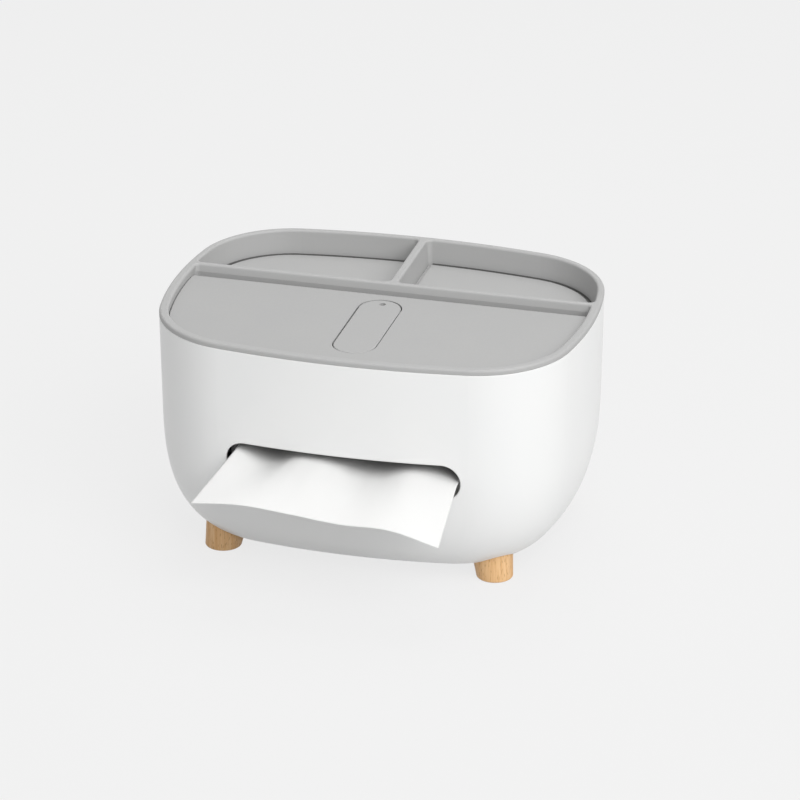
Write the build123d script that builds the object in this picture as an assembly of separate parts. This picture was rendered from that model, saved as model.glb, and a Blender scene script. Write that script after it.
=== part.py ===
from build123d import *
import os
from math import atan2, cos, hypot, pi, radians, sin, sqrt

# Tissue box organizer, in millimetres. The origin is on the ground below the middle of the body,
# +X is to the right, the slotted front faces -Y and +Z is up.

# Overall size, from the ground to the top of the lid's rim
WIDTH = 210.0
DEPTH = 160.0
HEIGHT = 120.0

# Plan outline: bowed faces, more bowed sides, round corners
BOW_RADIUS = 400.0
SIDE_RADIUS = 210.0
CORNER_RADIUS = 48.0

# Body shell: walls that lean in towards the ground and curl under into a bowl
WALL = 2.0
FLOOR = 2.5
GROUND_CLEARANCE = 6.4
FACE_LEAN_PER_MM = 0.034
SIDE_LEAN_PER_MM = 0.016
BOWL_HEIGHT = 63.4
BOWL_SIDE_INSET = 41.2
BOWL_FACE_INSET = 28.6
BOWL_FULLNESS = 2.73
BOWL_STEPS = 9
WALL_STEPS = 6
BODY_EDGE_ROUND = 0.4

# Tissue slot in the front face
SLOT_WIDTH = 116.0
SLOT_HEIGHT = 19.0
SLOT_CENTRE_Z = 59.6
SLOT_EDGE_ROUND = 0.7

# Lid: a rim flush with the body, and a tub that drops inside it
RIM_THICKNESS = 2.7
RIM_WIDTH = 4.6
RIM_ROUND = 1.2
RIM_LOWER_ROUND = 0.5
LID_CLEARANCE = 0.3
LID_WALL = 1.8
LID_FLOOR = 2.2
PARTITION_THICKNESS = 4.0
PARTITION_SETBACK = 1.1
DIVIDER_THICKNESS = 4.0
TRAY_RIM_WIDTH = 3.4
TRAY_REACH = 55.2
TRAY_DEPTH = 12.0
TRAY_DRAFT_ANGLE = 6.0
TRAY_CORNER_RADIUS = 3.0
TRAY_GUTTER_WIDTH = 2.0
TRAY_GUTTER_DEPTH = 1.2
RECESS_CORNER_RADIUS = 2.0

# Front deck, set in the recess with a groove behind it
DECK_DROP = 3.7
DECK_THICKNESS = 2.2
DECK_GAP = 0.4
DECK_FOOT_WIDTH = 2.0
DECK_EDGE_ROUND = 0.3
GROOVE_WIDTH = 5.3
GROOVE_DEPTH = 5.5
HOOK_SIDE_INSET = 47.0
HOOK_FRONT_INSET = 27.0
HOOK_REAR_INSET = 14.9
HOOK_WIDTH = 8.0
HOOK_THICKNESS = 1.4
HOOK_CATCH = 0.9
HOOK_TIP = 1.8
HOOK_PLAY = 0.1
HOOK_FLEX_ROOM = 1.2
HOOK_END_PLAY = 0.4

# Rocker flap in the deck, its pin, and the well below it
FLAP_WIDTH = 20.7
FLAP_FRONT_MARGIN = 14.1
FLAP_REAR_MARGIN = 6.4
FLAP_THICKNESS = 2.4
FLAP_GAP = 0.6
FLAP_SEAT_GAP = 0.3
FLAP_EDGE_ROUND = 0.5
HINGE_SETBACK = 12.0
KNUCKLE_RADIUS = 2.2
PIN_RADIUS = 1.0
PIN_RUNNING_GAP = 0.06
PIN_SEAT_GAP = 0.02
PIN_HEADROOM = 0.1
PIN_END_CHAMFER = 0.25
PRESS_MARK_SETBACK = 4.8
PRESS_MARK_RADIUS = 1.6
PRESS_MARK_DEPTH = 1.6
WELL_WALL = 1.8
WELL_FLOOR = 1.4
WELL_FRONT_ROOM = 5.0
WELL_SWING_ROOM = 0.6
WELL_HOLE_GAP = 0.4

# Turned wooden feet, splayed towards the corners
FOOT_SIDE_INSET = 36.4
FOOT_FACE_INSET = 34.3
FOOT_TIP_RADIUS = 8.8
FOOT_TAPER_PER_MM = 0.1
FOOT_LENGTH = 17.0
FOOT_TIP_ROUND = 1.0
FOOT_SPLAY = 9.5
FOOT_SPLAY_TURN = 37.0
SOCKET_GAP = 0.2
BOSS_WALL = 2.0

# Pan head screws that hold the feet, driven from inside
SCREW_RADIUS = 1.75
SCREW_LENGTH = 13.0
SCREW_POINT = 2.5
SCREW_HEAD_RADIUS = 3.4
SCREW_HEAD_HEIGHT = 2.4
SCREW_HEAD_ROUND = 1.0
SCREW_RECESS_LENGTH = 4.0
SCREW_RECESS_WIDTH = 0.9
SCREW_RECESS_DEPTH = 1.3
SCREW_BODY_GAP = 0.2
SCREW_WOOD_GAP = 0.05
SCREW_HEAD_GAP = 0.4
SCREW_HOLE_SPARE = 1.0
SCREW_WEB = 2.5
SCREW_SINK = 0.4

# Pack of folded tissues on the bosses, and the sheet that is drawn from its top
PACK_SIDE_ROOM = 40.0
PACK_FACE_ROOM = 34.0
PACK_EDGE_ROUND = 3.0
SHEET_THICKNESS = 0.6
SHEET_SEAT_GAP = 0.3
SHEET_LIP_GAP = 0.8
SHEET_LEFT_IN_SLOT = 7.8
SHEET_RIGHT_IN_SLOT = 1.3
SHEET_INNER_SETBACK = 2.0
SHEET_BEND_OUT = 2.0
SHEET_REACH = 36.6
SHEET_LEFT_FLARE = 13.0
SHEET_RIGHT_FLARE = 1.6
# Heights of the folds in the slot, as shares of the way from the pack up to the slot's lip
SHEET_FOLDS = (0.6, 0.0, 0.62, 0.0, 0.62, 0.1)
# How far the free edge hangs below the middle of the slot at each fold
SHEET_DROPS = (5.7, 4.2, 5.8, 8.1, 8.4, 14.6)

body_top = HEIGHT - RIM_THICKNESS
slot_top = SLOT_CENTRE_Z + SLOT_HEIGHT / 2
partition_rear_y = DEPTH / 2 - RIM_WIDTH - TRAY_REACH
partition_front_y = partition_rear_y - PARTITION_THICKNESS
tray_floor = HEIGHT - TRAY_DEPTH
tub_bottom = tray_floor - LID_FLOOR
deck_top = HEIGHT - DECK_DROP
deck_bottom = deck_top - DECK_THICKNESS
deck_inset = RIM_WIDTH + DECK_GAP
deck_front_y = deck_inset - DEPTH / 2
deck_rear_y = partition_front_y - GROOVE_WIDTH
recess_floor = deck_top - GROOVE_DEPTH
recess_underside = recess_floor - LID_FLOOR
hook_x = WIDTH / 2 - HOOK_SIDE_INSET
hook_places_y = (deck_front_y + HOOK_FRONT_INSET, deck_rear_y - HOOK_REAR_INSET)
flap_bottom = deck_top - FLAP_THICKNESS
flap_front_y = deck_front_y + FLAP_FRONT_MARGIN
flap_rear_y = deck_rear_y - FLAP_REAR_MARGIN
hinge_y = flap_rear_y - HINGE_SETBACK
hinge_z = deck_bottom - PIN_RADIUS - PIN_HEADROOM
well_shelf = flap_bottom - FLAP_SEAT_GAP
well_floor = hinge_z - sqrt(HINGE_SETBACK**2 + (deck_top - hinge_z) ** 2) - WELL_SWING_ROOM
well_half_width = FLAP_WIDTH / 2 + FLAP_GAP + WELL_WALL
foot_x = WIDTH / 2 - FOOT_SIDE_INSET
foot_y = DEPTH / 2 - FOOT_FACE_INSET
foot_top_radius = FOOT_TIP_RADIUS + FOOT_TAPER_PER_MM * FOOT_LENGTH
socket_radius = foot_top_radius + SOCKET_GAP
screw_seat = FOOT_LENGTH + SCREW_WEB
screw_head_top = screw_seat + SCREW_HEAD_HEIGHT
splay = radians(FOOT_SPLAY)
splay_turn = radians(FOOT_SPLAY_TURN)
boss_top = screw_head_top * cos(splay) + SCREW_HEAD_RADIUS * sin(splay) + SCREW_SINK
pack_top = SLOT_CENTRE_Z
pack_width = WIDTH - 2 * PACK_SIDE_ROOM
pack_depth = DEPTH - 2 * PACK_FACE_ROOM
sheet_inner_y = pack_depth / 2 - SHEET_INNER_SETBACK
front_at_slot = DEPTH / 2 - FACE_LEAN_PER_MM * (body_top - SLOT_CENTRE_Z)
bend_y = -front_at_slot - SHEET_BEND_OUT

FEET = {
    "front_left": (-1, -1),
    "front_right": (1, -1),
    "rear_left": (-1, 1),
    "rear_right": (1, 1),
}


def outline(half_width, half_depth, bow_radius, side_radius, corner_radius):
    """Closed plan face of eight arcs: bowed faces, bowed sides and corners, each tangent to the next."""
    bow_centre = bow_radius - half_depth
    side_centre = side_radius - half_width
    apart = hypot(bow_centre, side_centre)
    bow_to_corner = bow_radius - corner_radius
    side_to_corner = side_radius - corner_radius
    along = (bow_to_corner**2 - side_to_corner**2 + apart**2) / (2 * apart)
    across = sqrt(bow_to_corner**2 - along**2)
    corner_x = (across * bow_centre - along * side_centre) / apart
    corner_y = bow_centre - (along * bow_centre + across * side_centre) / apart
    bow_turn = atan2(corner_y - bow_centre, corner_x)
    side_turn = atan2(corner_y, corner_x + side_centre)

    def on_corner(angle, side, face):
        x = corner_x + corner_radius * cos(angle)
        y = corner_y + corner_radius * sin(angle)
        return (side * x, -face * y)

    def corner(side, face, to_side):
        angles = [bow_turn, (bow_turn + side_turn) / 2, side_turn]
        if not to_side:
            angles.reverse()
        return ThreePointArc(*[on_corner(angle, side, face) for angle in angles])

    edges = [
        ThreePointArc(on_corner(bow_turn, -1, -1), (0, -half_depth), on_corner(bow_turn, 1, -1)),
        corner(1, -1, True),
        ThreePointArc(on_corner(side_turn, 1, -1), (half_width, 0), on_corner(side_turn, 1, 1)),
        corner(1, 1, False),
        ThreePointArc(on_corner(bow_turn, 1, 1), (0, half_depth), on_corner(bow_turn, -1, 1)),
        corner(-1, 1, True),
        ThreePointArc(on_corner(side_turn, -1, 1), (-half_width, 0), on_corner(side_turn, -1, -1)),
        corner(-1, -1, False),
    ]
    return make_face(edges)


def plan(inset):
    """The rim's outline drawn in by inset all round."""
    half_width = WIDTH / 2 - inset
    half_depth = DEPTH / 2 - inset
    return outline(half_width, half_depth, BOW_RADIUS - inset, SIDE_RADIUS - inset, CORNER_RADIUS - inset)


def body_section(height, curl, inset):
    """Section of the body at a height; curl goes from 0 on the wall to 1 at the floor."""
    below_top = body_top - height
    half_width = WIDTH / 2 - SIDE_LEAN_PER_MM * below_top - BOWL_SIDE_INSET * curl
    half_depth = DEPTH / 2 - FACE_LEAN_PER_MM * below_top - BOWL_FACE_INSET * curl
    share_x = half_width / (WIDTH / 2)
    share_y = half_depth / (DEPTH / 2)
    bow = BOW_RADIUS * share_x**2 / share_y - inset
    side = SIDE_RADIUS * share_y**2 / share_x - inset
    corner = CORNER_RADIUS * min(share_x, share_y) - inset
    face = outline(half_width - inset, half_depth - inset, bow, side, corner)
    return Pos(0, 0, height) * face


def body_form(floor_height, inset):
    """Solid of the body's outer form, drawn in by inset: a superellipse bowl below leaning walls."""
    bowl_top = GROUND_CLEARANCE + BOWL_HEIGHT
    power = 2 / BOWL_FULLNESS
    sections = []
    for step in range(BOWL_STEPS + 1):
        angle = pi / 2 * (1 - step / BOWL_STEPS)
        height = bowl_top - (bowl_top - floor_height) * sin(angle) ** power
        sections.append(body_section(height, 1 - cos(angle) ** power, inset))
    for step in range(1, WALL_STEPS + 1):
        height = bowl_top + (body_top - bowl_top) * step / WALL_STEPS
        sections.append(body_section(height, 0.0, inset))
    return loft(sections)


def slab(face, low, high):
    """A plan face made solid from one height to another."""
    return extrude(Pos(0, 0, low) * face, high - low, dir=(0, 0, 1))


def strip(x_low, x_high, y_low, y_high):
    """Plan rectangle between two x and two y places."""
    middle = Pos((x_low + x_high) / 2, (y_low + y_high) / 2)
    return middle * Rectangle(x_high - x_low, y_high - y_low)


def rod(radius, low, high):
    """Upright cylinder between two heights."""
    return Pos(0, 0, low) * Cylinder(radius, high - low, align=(Align.CENTER, Align.CENTER, Align.MIN))


def cross_rod(radius, length, y, z):
    """Cylinder along X, centred on the middle plane."""
    return Pos(0, y, z) * Rot(0, 90, 0) * Cylinder(radius, length)


def foot_plane(side, face):
    """Plane on the ground at a foot, with its Z along the foot's splayed axis."""
    axis = (
        -side * sin(splay) * cos(splay_turn),
        -face * sin(splay) * sin(splay_turn),
        cos(splay),
    )
    return Plane(origin=(side * foot_x, face * foot_y, 0), x_dir=(0, 1, 0), z_dir=axis)


def rounded(face, radius):
    """Plan face with its sharp corners rounded: drawn in by the radius, then let out again."""
    drawn_in = offset(face, -radius, kind=Kind.INTERSECTION)
    return offset(drawn_in, radius, kind=Kind.ARC)


def slot_lip(form):
    """Edges of the slot where it breaks out of the front face."""
    reach = Vector(SLOT_WIDTH / 2, DEPTH / 2, SLOT_HEIGHT / 2)
    picked = []
    for edge in form.edges():
        middle = edge.center()
        in_slot = abs(middle.X) <= reach.X and abs(middle.Z - SLOT_CENTRE_Z) <= reach.Z
        if in_slot and middle.Y < -reach.Y / 2:
            picked.append(edge)
    return picked


def make_body_shell():
    """Shell with the slot, and four bosses that take the feet from below and carry the pack."""
    outer = body_form(GROUND_CLEARANCE, 0.0)
    outer = fillet(outer.faces().sort_by(Axis.Z)[-1].edges(), BODY_EDGE_ROUND)
    slot_plane = Plane.XZ * Pos(0, SLOT_CENTRE_Z)
    outer -= extrude(slot_plane * SlotOverall(SLOT_WIDTH, SLOT_HEIGHT), DEPTH)
    outer = fillet(slot_lip(outer), SLOT_EDGE_ROUND)
    cavity = body_form(GROUND_CLEARANCE + FLOOR, WALL)
    below_boss_top = Pos(0, 0, boss_top / 2) * Box(WIDTH, DEPTH, boss_top)
    for side, face in FEET.values():
        boss = foot_plane(side, face) * rod(socket_radius + BOSS_WALL, 0, HEIGHT)
        cavity -= boss & below_boss_top
    shell = outer - cavity
    for side, face in FEET.values():
        plane = foot_plane(side, face)
        shell -= plane * rod(socket_radius, -FOOT_LENGTH, FOOT_LENGTH)
        shell -= plane * rod(SCREW_RADIUS + SCREW_BODY_GAP, 0, HEIGHT / 2)
        shell -= plane * rod(SCREW_HEAD_RADIUS + SCREW_HEAD_GAP, screw_seat, HEIGHT / 2)
    return shell


def make_lid_tray():
    """Rim and tub in one moulding, with two rear compartments and a front recess. Above the deck the
    partition behind the recess leans back."""
    tub_inset = WALL + LID_CLEARANCE
    tub_lean = FACE_LEAN_PER_MM * (body_top - tub_bottom)
    tub_low = Pos(0, 0, tub_bottom) * plan(tub_inset + tub_lean)
    tub_high = Pos(0, 0, body_top) * plan(tub_inset)
    rim = slab(plan(0.0), body_top, HEIGHT)
    rim = fillet(rim.faces().sort_by(Axis.Z)[0].edges(), RIM_LOWER_ROUND)
    lid = rim + loft([tub_low, tub_high], ruled=True)

    rear = plan(TRAY_RIM_WIDTH) & strip(DIVIDER_THICKNESS / 2, WIDTH, partition_rear_y, DEPTH)
    right_tray = Pos(0, 0, HEIGHT) * rounded(rear, TRAY_CORNER_RADIUS)
    tray = extrude(right_tray, TRAY_DEPTH, dir=(0, 0, -1), taper=TRAY_DRAFT_ANGLE)
    tray_face = tray.faces().sort_by(Axis.Z)[0]
    gutter_face = tray_face - offset(tray_face, -TRAY_GUTTER_WIDTH)
    gutter = extrude(gutter_face, TRAY_GUTTER_DEPTH, dir=(0, 0, -1))
    for cutter in (tray, gutter):
        lid -= cutter
        lid -= mirror(cutter, Plane.YZ)

    before_partition = strip(-WIDTH, WIDTH, -DEPTH, partition_front_y)
    before_setback = strip(-WIDTH, WIDTH, -DEPTH, partition_front_y + PARTITION_SETBACK)
    recess = rounded(plan(RIM_WIDTH) & before_partition, RECESS_CORNER_RADIUS)
    recess_mouth = rounded(plan(RIM_WIDTH) & before_setback, RECESS_CORNER_RADIUS)
    lid -= slab(recess, recess_floor, deck_top)
    lid -= loft([Pos(0, 0, deck_top) * recess, Pos(0, 0, HEIGHT) * recess_mouth], ruled=True)
    hollow = plan(tub_inset + tub_lean + LID_WALL) & before_partition
    lid -= slab(hollow, tub_bottom, recess_underside)
    lid -= slab(flap_slot(FLAP_GAP + WELL_WALL + WELL_HOLE_GAP), tub_bottom, HEIGHT)
    for side in (-1, 1):
        for y in hook_places_y:
            inner_x = hook_x - HOOK_FLEX_ROOM
            outer_x = hook_x + HOOK_THICKNESS + HOOK_PLAY
            half_y = HOOK_WIDTH / 2 + HOOK_END_PLAY
            window = strip(inner_x, outer_x, y - half_y, y + half_y)
            window = window if side > 0 else mirror(window, Plane.YZ)
            lid -= slab(window, tub_bottom, recess_floor)
    rim_face = lid.faces().sort_by(Axis.Z)[-1]
    return fillet(rim_face.edges(), RIM_ROUND)


def flap_slot(margin):
    """Plan of the flap's round-ended outline, widened by margin."""
    length = flap_rear_y - flap_front_y
    slot = SlotOverall(length + 2 * margin, FLAP_WIDTH + 2 * margin, rotation=90)
    return Pos(0, (flap_front_y + flap_rear_y) / 2) * slot


def make_front_deck():
    """Plate with a foot all round, the flap's well below it, and four snap hooks."""
    region = plan(deck_inset) & strip(-WIDTH, WIDTH, -DEPTH, deck_rear_y)
    region = rounded(region, RECESS_CORNER_RADIUS)
    inside_rear_y = deck_rear_y - DECK_FOOT_WIDTH
    inside = plan(deck_inset + DECK_FOOT_WIDTH) & strip(-WIDTH, WIDTH, -DEPTH, inside_rear_y)
    deck = slab(region, recess_floor, deck_top) - slab(inside, recess_floor, deck_bottom)
    deck = fillet(deck.faces().sort_by(Axis.Z)[-1].edges(), DECK_EDGE_ROUND)

    outside = flap_slot(FLAP_GAP + WELL_WALL)
    opening = flap_slot(FLAP_GAP)
    well_front_y = hinge_y - WELL_FRONT_ROOM
    deep_outside = outside & strip(-WIDTH, WIDTH, well_front_y - WELL_WALL, DEPTH)
    deep_opening = opening & strip(-WIDTH, WIDTH, well_front_y, DEPTH)
    deck += slab(outside, well_shelf - WELL_FLOOR, deck_bottom)
    deck += slab(deep_outside, well_floor - WELL_FLOOR, deck_bottom)
    deck -= slab(opening, well_shelf, HEIGHT)
    deck -= slab(deep_opening, well_floor, HEIGHT)
    deck -= cross_rod(PIN_RADIUS + PIN_SEAT_GAP, 2 * well_half_width, hinge_y, hinge_z)

    catch_top = recess_underside
    hook_tip = catch_top - HOOK_TIP
    hook_outer_x = hook_x + HOOK_THICKNESS
    hook_face = make_face(
        Polyline(
            (hook_x, deck_bottom),
            (hook_outer_x, deck_bottom),
            (hook_outer_x, catch_top),
            (hook_outer_x + HOOK_CATCH, catch_top),
            (hook_outer_x, hook_tip),
            (hook_x, hook_tip),
            close=True,
        )
    )
    for y in hook_places_y:
        hook = Pos(0, y, 0) * extrude(Plane.XZ * hook_face, HOOK_WIDTH / 2, both=True)
        deck += hook
        deck += mirror(hook, Plane.YZ)
    return deck


def make_prop_flap():
    """Round-ended plate with a knuckle across its underside and a press mark on its short end."""
    flap = slab(flap_slot(0.0), flap_bottom, deck_top)
    flap = fillet(flap.faces().sort_by(Axis.Z)[-1].edges(), FLAP_EDGE_ROUND)
    knuckle = cross_rod(KNUCKLE_RADIUS, FLAP_WIDTH, hinge_y, hinge_z)
    flap += knuckle & slab(flap_slot(0.0), hinge_z - KNUCKLE_RADIUS, deck_top - FLAP_EDGE_ROUND)
    flap -= cross_rod(PIN_RADIUS + PIN_RUNNING_GAP, 2 * FLAP_WIDTH, hinge_y, hinge_z)
    mark = rod(PRESS_MARK_RADIUS, deck_top - PRESS_MARK_DEPTH, HEIGHT)
    return flap - Pos(0, flap_rear_y - PRESS_MARK_SETBACK) * mark


def make_flap_pin():
    """Plain pin with chamfered ends, as long as the well is wide."""
    pin = cross_rod(PIN_RADIUS, 2 * well_half_width, hinge_y, hinge_z)
    ends = pin.faces().filter_by(GeomType.PLANE).edges()
    return chamfer(ends, PIN_END_CHAMFER)


def make_foot(side, face):
    """Tapered turned foot along its splayed axis, cut level with the ground."""
    root = -FOOT_LENGTH / 2
    root_radius = FOOT_TIP_RADIUS + FOOT_TAPER_PER_MM * root
    upwards = (Align.CENTER, Align.CENTER, Align.MIN)
    cone = Cone(root_radius, foot_top_radius, FOOT_LENGTH - root, align=upwards)
    plane = foot_plane(side, face)
    foot = plane * Pos(0, 0, root) * cone
    foot -= Pos(0, 0, -FOOT_LENGTH) * Box(WIDTH, DEPTH, 2 * FOOT_LENGTH)
    ground_edges = foot.faces().sort_by(Axis.Z)[0].edges()
    foot = fillet(ground_edges, FOOT_TIP_ROUND)
    hole_bottom = screw_seat - SCREW_LENGTH - SCREW_HOLE_SPARE
    return foot - plane * rod(SCREW_RADIUS + SCREW_WOOD_GAP, hole_bottom, FOOT_LENGTH)


def make_foot_screw(side, face):
    """Pan head screw with a cross recess and a pointed end, along the foot's axis."""
    head = rod(SCREW_HEAD_RADIUS, screw_seat, screw_head_top)
    head = fillet(head.edges().sort_by(Axis.Z)[-1], SCREW_HEAD_ROUND)
    recess = Box(SCREW_RECESS_LENGTH, SCREW_RECESS_WIDTH, 2 * SCREW_RECESS_DEPTH)
    recess += Box(SCREW_RECESS_WIDTH, SCREW_RECESS_LENGTH, 2 * SCREW_RECESS_DEPTH)
    head -= Pos(0, 0, screw_head_top) * recess
    point_top = screw_seat - SCREW_LENGTH + SCREW_POINT
    shank = rod(SCREW_RADIUS, point_top, screw_seat)
    point = Cone(0.0, SCREW_RADIUS, SCREW_POINT, align=(Align.CENTER, Align.CENTER, Align.MAX))
    screw = head + shank + Pos(0, 0, point_top) * point
    return foot_plane(side, face) * screw


def make_tissue_pack():
    """Stack of folded tissues, from the bosses up to just over the middle of the slot."""
    pack = slab(Rectangle(pack_width, pack_depth), boss_top, pack_top)
    return fillet(pack.edges().filter_by(Axis.Z), PACK_EDGE_ROUND)


def fold_line(points):
    """Wave through its crests and troughs: two equal arcs between each and the next, level at both."""
    edges = []
    for start, end in zip(points[:-1], points[1:]):
        middle = ((start[0] + end[0]) / 2, (start[1] + end[1]) / 2)
        edges.append(TangentArc(start, middle, tangent=(1, 0)))
        edges.append(TangentArc(end, middle, tangent=(-1, 0)))
    return edges


def fold_section(points, y):
    """Section of the sheet at y: its fold line, its own thickness up, and two short ends."""
    raised = [(x, z + SHEET_THICKNESS) for x, z in points]
    edges = fold_line(points) + fold_line(raised)
    edges += [Line(points[0], raised[0]), Line(points[-1], raised[-1])]
    return Plane.XZ.offset(-y) * make_face(edges)


def make_tissue_sheet():
    """Sheet with its folds running straight out of the slot, then spreading and hanging."""
    left = -SLOT_WIDTH / 2 + SHEET_LEFT_IN_SLOT
    right = SLOT_WIDTH / 2 - SHEET_RIGHT_IN_SLOT
    low = pack_top + SHEET_SEAT_GAP
    rise = slot_top - SHEET_LIP_GAP - SHEET_THICKNESS - low
    spans = len(SHEET_FOLDS) - 1
    held = []
    free = []
    for index, (fold, drop) in enumerate(zip(SHEET_FOLDS, SHEET_DROPS)):
        across = index / spans
        held.append((left + (right - left) * across, low + rise * fold))
        free_left = left - SHEET_LEFT_FLARE
        free_right = right + SHEET_RIGHT_FLARE
        free.append((free_left + (free_right - free_left) * across, SLOT_CENTRE_Z - drop))
    inner_end = fold_section(held, sheet_inner_y)
    straight = extrude(inner_end, sheet_inner_y - bend_y, dir=(0, -1, 0))
    free_end = fold_section(free, -front_at_slot - SHEET_REACH)
    hanging = loft([fold_section(held, bend_y), free_end], ruled=True)
    return straight + hanging


def make_parts():
    """Every piece by its name."""
    parts = {
        "body_shell": make_body_shell(),
        "lid_tray": make_lid_tray(),
        "front_deck": make_front_deck(),
        "prop_flap": make_prop_flap(),
        "flap_pin": make_flap_pin(),
        "tissue_pack": make_tissue_pack(),
        "tissue_sheet": make_tissue_sheet(),
    }
    for name, (side, face) in FEET.items():
        parts["foot_" + name] = make_foot(side, face)
        parts["foot_screw_" + name] = make_foot_screw(side, face)
    return parts


os.makedirs("parts", exist_ok=True)
for name, part in make_parts().items():
    export_step(part, "parts/" + name + ".step")
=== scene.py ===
from math import cos, radians, sin

import bpy
import numpy as np
from bpy.props import FloatProperty, FloatVectorProperty, IntProperty, PointerProperty
from mathutils import Matrix, Vector


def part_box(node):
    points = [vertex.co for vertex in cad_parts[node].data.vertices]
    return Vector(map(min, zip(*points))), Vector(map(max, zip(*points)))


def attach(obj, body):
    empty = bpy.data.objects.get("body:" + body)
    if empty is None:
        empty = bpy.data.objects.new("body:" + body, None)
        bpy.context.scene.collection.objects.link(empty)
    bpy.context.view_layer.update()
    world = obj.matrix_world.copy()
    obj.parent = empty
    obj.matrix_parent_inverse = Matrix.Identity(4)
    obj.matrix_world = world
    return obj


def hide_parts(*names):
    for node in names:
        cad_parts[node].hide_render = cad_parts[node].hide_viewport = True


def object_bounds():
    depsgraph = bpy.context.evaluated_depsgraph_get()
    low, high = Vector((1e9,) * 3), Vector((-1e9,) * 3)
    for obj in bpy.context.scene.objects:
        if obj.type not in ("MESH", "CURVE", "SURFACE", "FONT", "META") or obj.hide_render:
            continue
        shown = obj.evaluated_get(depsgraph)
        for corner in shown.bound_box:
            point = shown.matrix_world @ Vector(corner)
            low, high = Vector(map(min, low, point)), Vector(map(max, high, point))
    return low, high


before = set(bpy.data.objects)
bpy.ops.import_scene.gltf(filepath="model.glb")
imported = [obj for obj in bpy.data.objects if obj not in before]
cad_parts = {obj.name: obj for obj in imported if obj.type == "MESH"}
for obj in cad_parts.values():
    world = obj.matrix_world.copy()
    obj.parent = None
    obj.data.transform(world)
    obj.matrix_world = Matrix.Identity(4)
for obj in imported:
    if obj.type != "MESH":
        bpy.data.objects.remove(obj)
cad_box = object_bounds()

bl_info = {
    "name": "Tissue box organizer",
    "version": (1, 0, 0),
    "blender": (4, 5, 0),
    "location": "View3D > Sidebar > Tissue box",
    "description": "Finishes the organizer's pieces and builds its tissues and its studio",
    "category": "Object",
}

MM = 0.001
FOOT_NAMES = ("front_left", "front_right", "rear_left", "rear_right")

pack_low, pack_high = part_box("tissue_pack")
sheet_low, sheet_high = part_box("tissue_sheet")
box_middle = Vector((0, 0, cad_box[1].z / 2))


def linear(hex_colour):
    """Linear RGBA of an sRGB hex colour."""
    levels = np.array([int(hex_colour[i : i + 2], 16) for i in (0, 2, 4)]) / 255
    curved = ((levels + 0.055) / 1.055) ** 2.4
    return (*np.where(levels <= 0.04045, levels / 12.92, curved).tolist(), 1.0)


def colour(name, description, hex_colour):
    """Colour property with an sRGB default."""
    return FloatVectorProperty(
        name=name, description=description, subtype="COLOR", size=4, min=0, max=1, default=linear(hex_colour)
    )


def length(name, description, millimetres):
    """Length property with a default in millimetres."""
    return FloatProperty(
        name=name, description=description, unit="LENGTH", default=millimetres * MM, precision=4
    )


class TissueBoxColours(bpy.types.PropertyGroup):
    """Colours of the mouldings, the wood, the metal and the paper."""

    body: colour("Body", "White of the body moulding", "EDEDEC")
    body_shade: colour("Body shade", "Slightly cooler white that clouds the body moulding", "EAEBEB")
    tray: colour("Lid tray", "Grey of the lid tray", "AEAEAD")
    tray_shade: colour("Lid tray shade", "Slightly darker grey that clouds the lid tray", "AAAAAA")
    # Painted shade: this darker grey in the gutter round the tray floors stands in for the shade that lies
    # there.
    gutter: colour("Gutter", "Shaded grey of the gutter round the tray floors", "6A6A69")
    deck: colour("Deck", "Grey of the front deck and the flap", "AAAAA9")
    deck_shade: colour("Deck shade", "Slightly darker grey that clouds the deck and the flap", "A6A6A6")
    beech_pale: colour("Beech pale", "Light fibres of the feet", "E9C190")
    beech_mid: colour("Beech mid", "Darker fibres of the feet", "D7A770")
    beech_fleck: colour("Beech fleck", "Short dark flecks in the feet", "A8753F")
    steel: colour("Steel", "Zinc plate on the screws and the pin", "CFD0D2")
    tissue: colour("Tissue", "White of the tissue", "E8E8E7")


class LidTraySizes(bpy.types.PropertyGroup):
    """Sizes that tell the lid tray's gutter from its other faces."""

    tray_depth: length("Tray depth", "Rim down to the tray floors", 12.0)
    gutter_depth: length("Gutter depth", "Tray floors down to the bottom of their gutter", 1.2)
    divider_reach: length("Divider reach", "Middle to the far side of the gutter along the divider", 5.6)


class DrawnTissueSizes(bpy.types.PropertyGroup):
    """Shape of the tissue that is drawn through the slot."""

    held_left: length("Held left", "Left edge where the slot holds it", -52.9)
    held_right: length("Held right", "Right edge where the slot holds it", 57.0)
    bend: length("Bend", "Where its middle leaves the front face, along Y", -78.6)
    face_bow: length("Face bow", "Radius of the front face, which the bend follows", 400.0)
    rise: length("Rise", "Height of a full crest over the stack", 5.6)
    thickness: length("Thickness", "Two plies of soft paper", 0.22)
    wrinkle: length("Wrinkle", "Height of the small wrinkles near the slot", 0.16)


class TissueStackSizes(bpy.types.PropertyGroup):
    """Shape of the stack of folded tissues."""

    layers: IntProperty(name="Layers", description="Folded tissues in the stack", default=44, min=1)
    corner: length("Corner", "Radius of the stack's upright corners", 3.0)
    fold_depth: length("Fold depth", "How far the creases between two tissues lie back", 0.32)
    stray: length("Stray", "How far a tissue lies out of line", 0.3)
    leaf_step: length("Leaf step", "Height of the top tissue's folded edge", 0.35)


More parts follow.
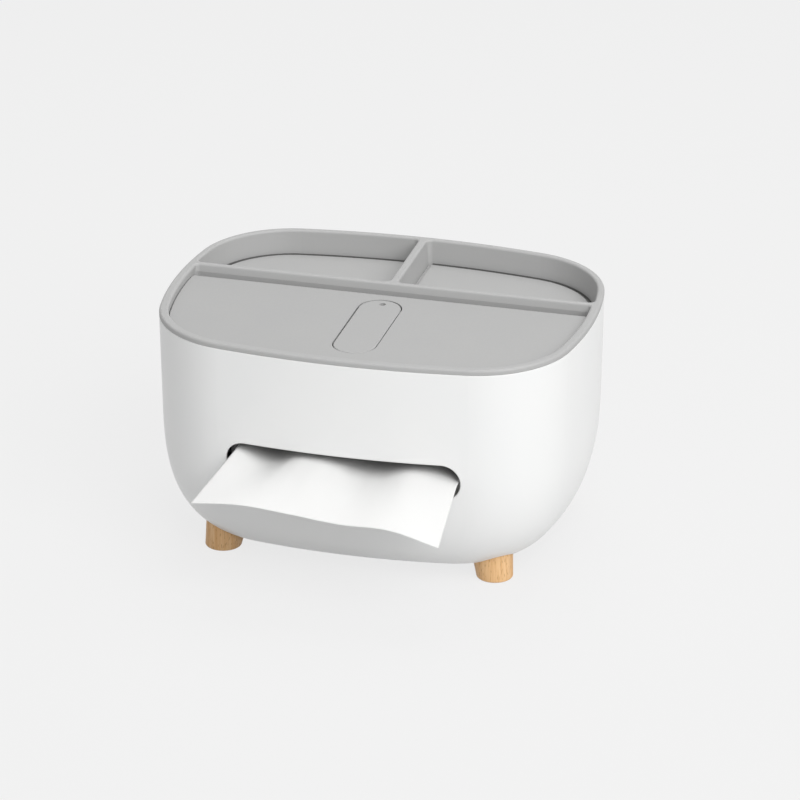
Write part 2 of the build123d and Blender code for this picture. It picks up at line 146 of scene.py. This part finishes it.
class StudioSettings(bpy.types.PropertyGroup):
    """Camera, lamps and floor."""

    azimuth: FloatProperty(
        name="Azimuth", description="Camera's turn to the right of the front", subtype="ANGLE",
        default=radians(15.146),
    )
    elevation: FloatProperty(
        name="Elevation", description="Camera's height as an angle", subtype="ANGLE", default=radians(24.049)
    )
    distance: length("Distance", "Camera to the point it looks at", 2679.7)
    lens: FloatProperty(name="Lens", description="Focal length in millimetres", default=246.4)
    aim_right: length("Aim right", "Point looked at, right of the box's middle", 8.35)
    aim_up: length("Aim up", "Point looked at, above the box's middle", 4.867)
    floor: colour("Floor", "Pale studio floor and backdrop, as seen", "F5F5F5")
    floor_paint: colour("Floor paint", "Lit floor, which carries the shadow and lights the box", "D3D3D3")
    ambient: FloatProperty(name="Ambient", description="Even light from all round", default=0.47, min=0)
    key: FloatProperty(name="Key", description="Watts of the softbox at the front right", default=44.5, min=0)
    back: FloatProperty(name="Back", description="Watts of the softbox above and behind", default=3.6, min=0)


def node(tree, kind, inputs=None, **settings):
    """Add a node with its settings; inputs maps sockets to values or to the outputs that feed them."""
    made = tree.nodes.new(kind)
    for name, value in settings.items():
        setattr(made, name, value)
    for key, value in (inputs or {}).items():
        if isinstance(value, bpy.types.NodeSocket):
            tree.links.new(value, made.inputs[key])
        else:
            made.inputs[key].default_value = value
    return made


def start_material(name, **constants):
    """New material with its tree, its shader and Object coordinates; constants go on the shader's sockets."""
    material = bpy.data.materials.new(name)
    material.use_nodes = True
    tree = material.node_tree
    shader = tree.nodes["Principled BSDF"]
    for socket, value in constants.items():
        shader.inputs[socket.replace("_", " ")].default_value = value
    place = node(tree, "ShaderNodeTexCoord").outputs["Object"]
    return material, tree, shader, place


def per(millimetres):
    """Pattern scale at which one cell is this many millimetres."""
    return 1 / (millimetres * MM)


# Satin white ABS, moulded in a finely blasted tool: an even white with a soft broad shine, faint flow
# clouds tens of millimetres wide and a very shallow pebble. The real pebble is about 0.3 mm and would
# be lost at this size of picture, so it is drawn at 1.1 mm.
def satin_white_abs(colours):
    material, tree, shader, place = start_material("satin_white_abs", IOR=1.54)
    clouds = node(tree, "ShaderNodeTexNoise", {"Vector": place, "Scale": per(42), "Detail": 2.0})
    tone = node(
        tree, "ShaderNodeMix",
        {0: clouds.outputs["Fac"], 6: colours.body, 7: colours.body_shade}, data_type="RGBA",
    )
    gloss = node(
        tree, "ShaderNodeMapRange",
        {"Value": clouds.outputs["Fac"], "From Min": 0.3, "From Max": 0.7, "To Min": 0.34, "To Max": 0.4},
    )
    pebble = node(tree, "ShaderNodeTexNoise", {"Vector": place, "Scale": per(1.1), "Detail": 1.0})
    relief = node(
        tree, "ShaderNodeBump",
        {"Height": pebble.outputs["Fac"], "Strength": 0.12, "Distance": 0.02 * MM},
    )
    tree.links.new(tone.outputs[2], shader.inputs["Base Color"])
    tree.links.new(gloss.outputs["Result"], shader.inputs["Roughness"])
    tree.links.new(relief.outputs["Normal"], shader.inputs["Normal"])
    return material


# Matt grey ABS, moulded in an etched tool: a flat grey that hardly shines, with a fine even grit. The
# real grit is about 0.2 mm and is drawn at 0.8 mm so that it shows. The lid tray and the deck are two
# mouldings, whose greys differ a little. The gutter round the tray floors is drawn darker, because the fine
# shade that lies in it would be lost at this size of picture.
def matt_grey_abs(name, grey, shade):
    material, tree, shader, place = start_material(name, IOR=1.54)
    clouds = node(tree, "ShaderNodeTexNoise", {"Vector": place, "Scale": per(30), "Detail": 2.0})
    grit = node(tree, "ShaderNodeTexNoise", {"Vector": place, "Scale": per(0.8), "Detail": 2.0})
    tone = node(
        tree, "ShaderNodeMix",
        {0: clouds.outputs["Fac"], 6: grey, 7: shade}, data_type="RGBA",
    )
    gloss = node(
        tree, "ShaderNodeMapRange",
        {"Value": grit.outputs["Fac"], "From Min": 0.3, "From Max": 0.7, "To Min": 0.5, "To Max": 0.62},
    )
    relief = node(
        tree, "ShaderNodeBump",
        {"Height": grit.outputs["Fac"], "Strength": 0.2, "Distance": 0.03 * MM},
    )
    tree.links.new(tone.outputs[2], shader.inputs["Base Color"])
    tree.links.new(gloss.outputs["Result"], shader.inputs["Roughness"])
    tree.links.new(relief.outputs["Normal"], shader.inputs["Normal"])
    return material


# Beech, turned and clear lacquered: warm pale wood with straight fibres up the foot, broad soft bands
# and the short dark flecks of its rays.
def lacquered_beech(colours):
    material, tree, shader, place = start_material("lacquered_beech", IOR=1.5)

    def fibres(across, along, detail):
        stretch = (per(across), per(across), per(along))
        stretched = node(tree, "ShaderNodeMapping", {"Vector": place, "Scale": stretch})
        return node(
            tree, "ShaderNodeTexNoise",
            {"Vector": stretched.outputs["Vector"], "Scale": 1.0, "Detail": detail},
        ).outputs["Fac"]

    streaks = fibres(0.8, 16.0, 2.0)
    bands = fibres(4.5, 60.0, 1.0)
    flecks = fibres(0.55, 2.6, 0.0)
    mixed = node(tree, "ShaderNodeMath", {0: streaks, 1: bands}, operation="ADD")
    grain = node(
        tree, "ShaderNodeMapRange",
        {"Value": mixed.outputs["Value"], "From Min": 0.75, "From Max": 1.25, "To Min": 0.0, "To Max": 1.0},
    )
    wood = node(
        tree, "ShaderNodeMix",
        {0: grain.outputs["Result"], 6: colours.beech_pale, 7: colours.beech_mid}, data_type="RGBA",
    )
    dark = node(
        tree, "ShaderNodeMapRange",
        {"Value": flecks, "From Min": 0.64, "From Max": 0.74, "To Min": 0.0, "To Max": 0.55},
    )
    tone = node(
        tree, "ShaderNodeMix",
        {0: dark.outputs["Result"], 6: wood.outputs[2], 7: colours.beech_fleck}, data_type="RGBA",
    )
    gloss = node(
        tree, "ShaderNodeMapRange",
        {"Value": streaks, "From Min": 0.3, "From Max": 0.7, "To Min": 0.42, "To Max": 0.55},
    )
    relief = node(tree, "ShaderNodeBump", {"Height": streaks, "Strength": 0.25, "Distance": 0.05 * MM})
    tree.links.new(tone.outputs[2], shader.inputs["Base Color"])
    tree.links.new(gloss.outputs["Result"], shader.inputs["Roughness"])
    tree.links.new(relief.outputs["Normal"], shader.inputs["Normal"])
    return material


# Zinc plated steel: a bright, slightly blurred metal with cloudy patches from the plating bath.
def zinc_plated_steel(colours):
    material, tree, shader, place = start_material("zinc_plated_steel", Metallic=1.0)
    shader.inputs["Base Color"].default_value = colours.steel
    patches = node(tree, "ShaderNodeTexNoise", {"Vector": place, "Scale": per(1.5), "Detail": 3.0})
    gloss = node(
        tree, "ShaderNodeMapRange",
        {"Value": patches.outputs["Fac"], "From Min": 0.3, "From Max": 0.7, "To Min": 0.24, "To Max": 0.42},
    )
    tree.links.new(gloss.outputs["Result"], shader.inputs["Roughness"])
    return material


# Two-ply tissue paper, creped on its drying roll: a dull soft white that lets some light through, with
# fine ripples across the sheet. Real crepe is about 0.4 mm apart and is drawn at 0.9 mm so that it shows.
def creped_tissue(colours, name, see_through):
    material, tree, shader, place = start_material(name, Roughness=0.92, IOR=1.47)
    shader.inputs["Base Color"].default_value = colours.tissue
    shader.inputs["Specular IOR Level"].default_value = 0.2
    shader.inputs["Subsurface Weight"].default_value = see_through
    shader.inputs["Subsurface Radius"].default_value = (1.0, 1.0, 1.0)
    shader.inputs["Subsurface Scale"].default_value = 0.8 * MM
    stretch = (per(3.5), per(0.9), per(0.9))
    stretched = node(tree, "ShaderNodeMapping", {"Vector": place, "Scale": stretch})
    crepe = node(
        tree, "ShaderNodeTexNoise", {"Vector": stretched.outputs["Vector"], "Scale": 1.0, "Detail": 1.0}
    )
    relief = node(
        tree, "ShaderNodeBump",
        {"Height": crepe.outputs["Fac"], "Strength": 0.2, "Distance": 0.06 * MM},
    )
    tree.links.new(relief.outputs["Normal"], shader.inputs["Normal"])
    return material


def dress(names, material):
    """Give CAD nodes a finish."""
    for name in names:
        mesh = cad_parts[name].data
        mesh.materials.clear()
        mesh.materials.append(material)


def gutter_faces(mesh, low, high, clear):
    """Which triangles of a CAD mesh lie wholly between two heights, reach below the upper one and reach
    farther than clear from the middle plane."""
    slack = 0.05 * MM
    points = np.empty(3 * len(mesh.vertices))
    mesh.vertices.foreach_get("co", points)
    corners = np.empty(len(mesh.loops), int)
    mesh.loops.foreach_get("vertex_index", corners)
    sideways = np.abs(points[0::3][corners]).reshape(-1, 3)
    heights = points[2::3][corners].reshape(-1, 3)
    within = (heights > low - slack) & (heights < high + slack)
    return within.all(1) & (heights.min(1) < high - slack) & (sideways.max(1) > clear)


def through(values, share):
    """Smooth curve through evenly spaced values, at shares from 0 to 1 of its length: a cubic between each
    two values, whose slope at a value is half the step between its neighbours."""
    values = np.asarray(values, float)
    slopes = np.gradient(values)
    place = np.clip(share, 0, 1) * (len(values) - 1)
    left = np.minimum(place.astype(int), len(values) - 2)
    t = place - left
    rise = values[left + 1] - values[left]
    ends = rise * t**2 * (3 - 2 * t)
    leans = slopes[left] * t * (1 - t) ** 2 - slopes[left + 1] * t**2 * (1 - t)
    return values[left] + ends + leans


def quads(rows, columns, first=0):
    """Four corners of each cell of a grid whose points are numbered row by row."""
    corner = first + np.arange(rows - 1)[:, None] * columns + np.arange(columns - 1)
    return np.stack([corner, corner + 1, corner + columns + 1, corner + columns], -1).reshape(-1, 4)


def wrapped_quads(rows, columns, first=0):
    """Cells of a grid whose last column meets its first."""
    low = first + np.arange(rows - 1)[:, None] * columns + np.arange(columns)
    low_next = first + np.arange(rows - 1)[:, None] * columns + np.roll(np.arange(columns), -1)
    return np.stack([low, low_next, low_next + columns, low + columns], -1).reshape(-1, 4)


def put_piece(name, points, faces, flat_from, material):
    """New object at the origin with its place in its mesh; faces from number flat_from on are shaded flat."""
    mesh = bpy.data.meshes.new(name)
    mesh.from_pydata(points.reshape(-1, 3).tolist(), [], [face.tolist() for face in faces])
    mesh.polygons.foreach_set("use_smooth", np.arange(len(faces)) < flat_from)
    mesh.materials.append(material)
    mesh.update()
    piece = bpy.data.objects.new(name, mesh)
    bpy.context.scene.collection.objects.link(piece)
    return piece


def drawn_tissue_surface(sizes, rows, columns):
    """Middle surface of the drawn tissue, over a share across it and rows from its inner end to its free
    edge. In the slot its height is a level line of crests, which falls as a quarter cosine at its right
    end, less two hollows, each a squared cosine. Inside the box that height sinks to the stack. Outside,
    from a bend that follows the bowed front, the line of crests goes over into the line of the free edge,
    starting level, and the hollows fade with a power of what is left to go. Small wrinkles, a sum of
    sines, die away from the slot as a bell curve and towards both side edges."""
    # Middle and reach of each hollow as shares across, its depth as a share of the rise, and its power
    hollows = ((0.15, 0.16, 0.98, 2.2), (0.605, 0.235, 0.98, 1.5))
    # Heights of the free edge in millimetres, evenly spaced from left to right
    free_edge = (53.9, 55.7, 53.9, 51.6, 51.4, 45.3)
    # Weight of each set of wrinkles, its waves across the tissue and per metre along it, and its phase
    wrinkles = ((1.0, 7, 16, 0.6), (0.7, 13, -9, 2.1))
    wrinkle_reach = 26 * MM
    shoulder = 0.27
    easing = 0.03
    sunk = 0.85
    across = np.linspace(0, 1, columns)[None, :]
    y = np.linspace(sheet_high.y, sheet_low.y, rows)[:, None]
    held = sizes.held_left + (sizes.held_right - sizes.held_left) * across
    bend = sizes.bend + held**2 / (2 * sizes.face_bow)
    out = np.clip((bend - y) / (bend - sheet_low.y), 0, 1)
    out = out**2 * (1 + easing) / (out + easing)
    inside = np.clip((y - bend) / (sheet_high.y - bend), 0, 1)
    lying = 1 - sunk * inside**2 * (3 - 2 * inside)

    past = np.clip((across - 1 + shoulder) / shoulder, 0, 1)
    crest_line = sizes.rise * np.cos(past * np.pi / 2)
    fading = 0
    for middle, reach, depth, power in hollows:
        dip = depth * np.cos(np.clip((across - middle) / reach, -1, 1) * np.pi / 2) ** 2
        fading = fading + np.minimum(sizes.rise * dip, crest_line) * (1 - out) ** power
    low = pack_high.z + sizes.thickness
    edge_line = MM * through(free_edge, across)
    hanging = (low + crest_line) * (1 - out) + edge_line * out - fading
    resting = low + lying * (crest_line - fading)
    z = np.where(y > bend, resting, hanging)

    near_slot = np.exp(-(((y - bend) / wrinkle_reach) ** 2))
    ripple = 0
    for weight, waves_across, waves_along, phase in wrinkles:
        turns = waves_across * across + waves_along * y
        ripple = ripple + weight * np.sin(2 * np.pi * turns + phase)
    z = z + sizes.wrinkle / 2 * ripple * near_slot * np.sin(np.pi * across)
    free = sheet_low.x + (sheet_high.x - sheet_low.x) * across
    x = held * (1 - out) + free * out
    return np.stack([x, np.broadcast_to(y, x.shape), z], -1)


def tissue_stack_surfaces(sizes):
    """Sides and top of the stack. The sides carry a rectangle with round corners up the stack; each tissue
    bulges out as a half circle between two creases and lies a little out of line with its neighbours. The
    top draws that outline in to the middle in even rings, with one step where the top fold ends."""
    steps = 6
    per_corner, per_side, rings = 7, 26, 22
    innermost = 0.04
    leaf_end = 12 * MM
    leaf_slope = 0.6 * MM
    rim_power = 8
    half = (pack_high - pack_low) / 2
    middle = np.array(((pack_low + pack_high) / 2).xy)
    quarter = np.linspace(0, np.pi / 2, per_corner)
    corners = []
    for turn, (side, face) in enumerate(((1, 1), (-1, 1), (-1, -1), (1, -1))):
        angle = quarter + turn * np.pi / 2
        centre = np.array([side * (half.x - sizes.corner), face * (half.y - sizes.corner)])
        corners.append(centre + sizes.corner * np.stack([np.cos(angle), np.sin(angle)], -1))
    stretches = []
    for turn, corner in enumerate(corners):
        following = corners[(turn + 1) % 4][0]
        share = np.linspace(0, 1, per_side + 1)[1:-1, None]
        stretches += [corner, corner[-1] * (1 - share) + following * share]
    plan = np.concatenate(stretches)

    levels = np.linspace(0, sizes.layers, sizes.layers * steps + 1)
    layer = np.minimum(levels.astype(int), sizes.layers - 1)
    across_layer = 2 * (levels - layer) - 1
    crease = sizes.fold_depth * (1 - np.sqrt(np.maximum(1 - across_layer**2, 0)))
    chance = np.random.default_rng(seed=7)
    shift = chance.uniform(-sizes.stray, 0, (sizes.layers, 2))[layer]
    shrink = 1 + (shift - crease[:, None]) / np.array([half.x, half.y])
    z = pack_low.z + (pack_high.z - pack_low.z) * levels / sizes.layers
    sides = np.empty((len(levels), len(plan), 3))
    sides[..., :2] = middle + plan[None] * shrink[:, None, :]
    sides[..., 2] = z[:, None]

    inwards = np.linspace(1, innermost, rings)[1:, None]
    rim = sides[-1, :, :2] - middle
    top = np.empty((rings - 1, len(plan), 3))
    top[..., :2] = middle + rim[None] * inwards[..., None]
    step = np.clip((top[..., 1] - leaf_end) / leaf_slope, 0, 1)
    top[..., 2] = pack_high.z - sizes.leaf_step * step * (1 - inwards**rim_power)
    return sides, top


def seen_directly(tree):
    """Is 1 for what the camera sees straight on, in a shine or through glass."""
    path = node(tree, "ShaderNodeLightPath")
    shine = node(
        tree, "ShaderNodeMath",
        {0: path.outputs["Is Camera Ray"], 1: path.outputs["Is Glossy Ray"]}, operation="MAXIMUM",
    )
    return node(
        tree, "ShaderNodeMath",
        {0: shine.outputs["Value"], 1: path.outputs["Is Transmission Ray"]}, operation="MAXIMUM",
    ).outputs["Value"]


def lay_floor(studio):
    """A wide pale floor just under the feet. Most of what is seen of it is its plain colour, so that the
    background stays even, and the rest is lit, so that it keeps the box's shadow."""
    reach = 9.0
    drop = 0.1 * MM
    lit_share = 0.15
    turns = ((-1, -1), (1, -1), (1, 1), (-1, 1))
    corners = np.array([[reach * x, reach * y, -drop] for x, y in turns])
    material = bpy.data.materials.new("pale_studio_floor")
    material.use_nodes = True
    tree = material.node_tree
    tree.nodes.clear()
    seen = seen_directly(tree)
    paint = node(tree, "ShaderNodeBsdfDiffuse", {"Color": studio.floor_paint})
    plain = node(tree, "ShaderNodeEmission", {"Color": studio.floor})
    share = node(tree, "ShaderNodeMath", {0: seen, 1: 1 - lit_share}, operation="MULTIPLY")
    mixed = node(
        tree, "ShaderNodeMixShader",
        {0: share.outputs["Value"], 1: paint.outputs["BSDF"], 2: plain.outputs["Emission"]},
    )
    node(tree, "ShaderNodeOutputMaterial", {"Surface": mixed.outputs["Shader"]})
    floor = put_piece("studio_floor", corners, np.array([[0, 1, 2, 3]]), 0, material)


def light_world(scene, studio):
    """Even grey light from all round, with the floor's colour where the world itself is seen."""
    world = bpy.data.worlds.new("studio_world")
    world.use_nodes = True
    scene.world = world
    tree = world.node_tree
    tree.nodes.clear()
    light = node(tree, "ShaderNodeBackground", {"Color": (1, 1, 1, 1), "Strength": studio.ambient})
    seen = node(tree, "ShaderNodeBackground", {"Color": studio.floor, "Strength": 1.0})
    mixed = node(
        tree, "ShaderNodeMixShader",
        {0: seen_directly(tree), 1: light.outputs["Background"], 2: seen.outputs["Background"]},
    )
    node(tree, "ShaderNodeOutputWorld", {"Surface": mixed.outputs["Shader"]})


def direction(azimuth, elevation):
    """Unit vector from the box, by a turn to the right of the front and a height as angles."""
    level = cos(elevation)
    return Vector((sin(azimuth) * level, -cos(azimuth) * level, sin(elevation)))


def add_softbox(name, watts, side, distance, azimuth, elevation):
    """Square softbox that faces the middle of the box, by its turn to the right of the front and its height
    in degrees."""
    towards = direction(radians(azimuth), radians(elevation))
    data = bpy.data.lights.new(name, "AREA")
    data.energy = watts
    data.size = side
    lamp = bpy.data.objects.new(name, data)
    lamp.location = box_middle + towards * distance
    lamp.rotation_euler = towards.to_track_quat("Z", "Y").to_euler()
    lamp.visible_camera = False
    bpy.context.scene.collection.objects.link(lamp)


def add_camera(studio):
    """Camera that looks at the box's middle, moved a little right and up, from its angle and distance."""
    back = direction(studio.azimuth, studio.elevation)
    right = Vector((cos(studio.azimuth), sin(studio.azimuth), 0))
    up = back.cross(right)
    aim = box_middle + right * studio.aim_right + up * studio.aim_up
    data = bpy.data.cameras.new("studio_camera")
    data.lens = studio.lens
    data.sensor_width = 36
    camera = bpy.data.objects.new("studio_camera", data)
    turn = Matrix((right, up, back)).transposed().to_4x4()
    camera.matrix_world = Matrix.Translation(aim + back * studio.distance) @ turn
    bpy.context.scene.collection.objects.link(camera)
    return camera


class TISSUEBOX_OT_body(bpy.types.Operator):
    """Finish the body shell in satin white ABS"""

    bl_idname = "tissue_box.body"
    bl_label = "Body shell"

    def execute(self, context):
        dress(["body_shell"], satin_white_abs(context.scene.tissue_box_colours))
        return {"FINISHED"}


class TISSUEBOX_OT_lid(bpy.types.Operator):
    """Finish the lid tray, the front deck and the prop flap in matt grey ABS"""

    bl_idname = "tissue_box.lid"
    bl_label = "Lid tray, deck and flap"

    def execute(self, context):
        colours = context.scene.tissue_box_colours
        sizes = context.scene.tissue_box_lid
        dress(["lid_tray"], matt_grey_abs("matt_grey_abs", colours.tray, colours.tray_shade))
        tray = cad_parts["lid_tray"].data
        # The gutter's faces get a second material, whose darker grey is painted shade.
        tray.materials.append(matt_grey_abs("matt_grey_abs_painted_gutter_shade", colours.gutter, colours.gutter))
        tray_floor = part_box("lid_tray")[1].z - sizes.tray_depth
        gutter_bottom = tray_floor - sizes.gutter_depth
        in_gutter = gutter_faces(tray, gutter_bottom, tray_floor, sizes.divider_reach)
        tray.polygons.foreach_set("material_index", in_gutter.astype(np.int32))
        deck_grey = matt_grey_abs("matt_grey_abs_deck", colours.deck, colours.deck_shade)
        dress(["front_deck", "prop_flap"], deck_grey)
        return {"FINISHED"}


class TISSUEBOX_OT_feet(bpy.types.Operator):
    """Finish the four turned feet in lacquered beech"""

    bl_idname = "tissue_box.feet"
    bl_label = "Feet"

    def execute(self, context):
        dress(["foot_" + name for name in FOOT_NAMES], lacquered_beech(context.scene.tissue_box_colours))
        return {"FINISHED"}


class TISSUEBOX_OT_fasteners(bpy.types.Operator):
    """Finish the foot screws and the flap pin in zinc plated steel"""

    bl_idname = "tissue_box.fasteners"
    bl_label = "Screws and pin"

    def execute(self, context):
        names = ["foot_screw_" + name for name in FOOT_NAMES]
        dress([*names, "flap_pin"], zinc_plated_steel(context.scene.tissue_box_colours))
        return {"FINISHED"}


class TISSUEBOX_OT_tissue_stack(bpy.types.Operator):
    """Build the stack of folded tissues"""

    bl_idname = "tissue_box.tissue_stack"
    bl_label = "Tissue stack"

    def execute(self, context):
        sizes = context.scene.tissue_box_stack
        sides, top = tissue_stack_surfaces(sizes)
        rows, columns = sides.shape[:2]
        rings = top.shape[0]
        around = np.arange(columns)
        following = np.roll(around, -1)
        side_faces = wrapped_quads(rows, columns)
        side_last = (rows - 1) * columns
        top_first = rows * columns
        joined = np.stack(
            [side_last + around, side_last + following, top_first + following, top_first + around], -1
        )
        top_faces = wrapped_quads(rings, columns, top_first)
        last = top_first + (rings - 1) * columns
        pole = top_first + rings * columns
        fan = np.stack([last + around, last + following, np.full(columns, pole)], -1)
        foot = np.stack([following, around, np.full(columns, pole + 1)], -1)
        middle = (pack_low + pack_high) / 2
        poles = np.array([[middle.x, middle.y, top[-1, :, 2].mean()], [middle.x, middle.y, pack_low.z]])
        points = np.concatenate([sides.reshape(-1, 3), top.reshape(-1, 3), poles])
        faces = [*side_faces, *joined, *top_faces, *fan, *foot]
        material = creped_tissue(context.scene.tissue_box_colours, "stacked_tissue", see_through=0.0)
        stack = put_piece("tissue_stack", points, faces, len(faces) - len(foot), material)
        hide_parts("tissue_pack")
        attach(stack, "base")
        return {"FINISHED"}


class TISSUEBOX_OT_drawn_tissue(bpy.types.Operator):
    """Build the tissue that is drawn through the slot"""

    bl_idname = "tissue_box.drawn_tissue"
    bl_label = "Drawn tissue"

    def execute(self, context):
        sizes = context.scene.tissue_box_drawn
        rows, columns = 160, 128
        surface = drawn_tissue_surface(sizes, rows, columns)
        offset = np.array([0, 0, sizes.thickness / 2])
        points = np.concatenate([(surface + offset).reshape(-1, 3), (surface - offset).reshape(-1, 3)])
        below = rows * columns
        upper = quads(rows, columns)[:, ::-1]
        lower = quads(rows, columns, below)
        number = np.arange(below).reshape(rows, columns)
        border = np.concatenate([number[0, :-1], number[:-1, -1], number[-1, :0:-1], number[:0:-1, 0]])
        following = np.roll(border, -1)
        rim = np.stack([border, following, following + below, border + below], -1)
        faces = np.concatenate([upper, lower, rim])
        material = creped_tissue(context.scene.tissue_box_colours, "drawn_tissue", see_through=0.25)
        tissue = put_piece("drawn_tissue", points, faces, len(upper) + len(lower), material)
        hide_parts("tissue_sheet")
        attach(tissue, "sheet")
        return {"FINISHED"}


class TISSUEBOX_OT_stage(bpy.types.Operator):
    """Set up the floor, the lamps, the world and the camera"""

    bl_idname = "tissue_box.stage"
    bl_label = "Studio"

    def execute(self, context):
        studio = context.scene.tissue_box_studio
        context.scene.view_settings.view_transform = "Standard"
        lay_floor(studio)
        light_world(context.scene, studio)
        add_softbox(
            "key_softbox", studio.key, side=1800 * MM, distance=2400 * MM, azimuth=45, elevation=40
        )
        add_softbox(
            "back_softbox", studio.back, side=750 * MM, distance=1125 * MM, azimuth=180, elevation=70
        )
        context.scene.camera = add_camera(studio)
        return {"FINISHED"}


class TISSUEBOX_PT_panel(bpy.types.Panel):
    """Lists the pieces and their settings"""

    bl_idname = "TISSUEBOX_PT_panel"
    bl_label = "Tissue box organizer"
    bl_space_type = "VIEW_3D"
    bl_region_type = "UI"
    bl_category = "Tissue box"

    def draw(self, context):
        for operator in OPERATORS:
            self.layout.operator(operator.bl_idname)
        for settings in SETTINGS:
            box = self.layout.box()
            group = getattr(context.scene, settings)
            for name in group.__annotations__:
                box.prop(group, name)


OPERATORS = (
    TISSUEBOX_OT_body,
    TISSUEBOX_OT_lid,
    TISSUEBOX_OT_feet,
    TISSUEBOX_OT_fasteners,
    TISSUEBOX_OT_tissue_stack,
    TISSUEBOX_OT_drawn_tissue,
    TISSUEBOX_OT_stage,
)
SETTINGS = {
    "tissue_box_colours": TissueBoxColours,
    "tissue_box_lid": LidTraySizes,
    "tissue_box_drawn": DrawnTissueSizes,
    "tissue_box_stack": TissueStackSizes,
    "tissue_box_studio": StudioSettings,
}
CLASSES = (*SETTINGS.values(), *OPERATORS, TISSUEBOX_PT_panel)


def register():
    for each in CLASSES:
        bpy.utils.register_class(each)
    for name, group in SETTINGS.items():
        setattr(bpy.types.Scene, name, PointerProperty(type=group))


def unregister():
    for name in SETTINGS:
        delattr(bpy.types.Scene, name)
    for each in reversed(CLASSES):
        bpy.utils.unregister_class(each)


def main():
    register()
    bpy.ops.tissue_box.body()
    bpy.ops.tissue_box.lid()
    bpy.ops.tissue_box.feet()
    bpy.ops.tissue_box.fasteners()
    bpy.ops.tissue_box.tissue_stack()
    bpy.ops.tissue_box.drawn_tissue()
    bpy.ops.tissue_box.stage()


if __name__ == "__main__":
    main()
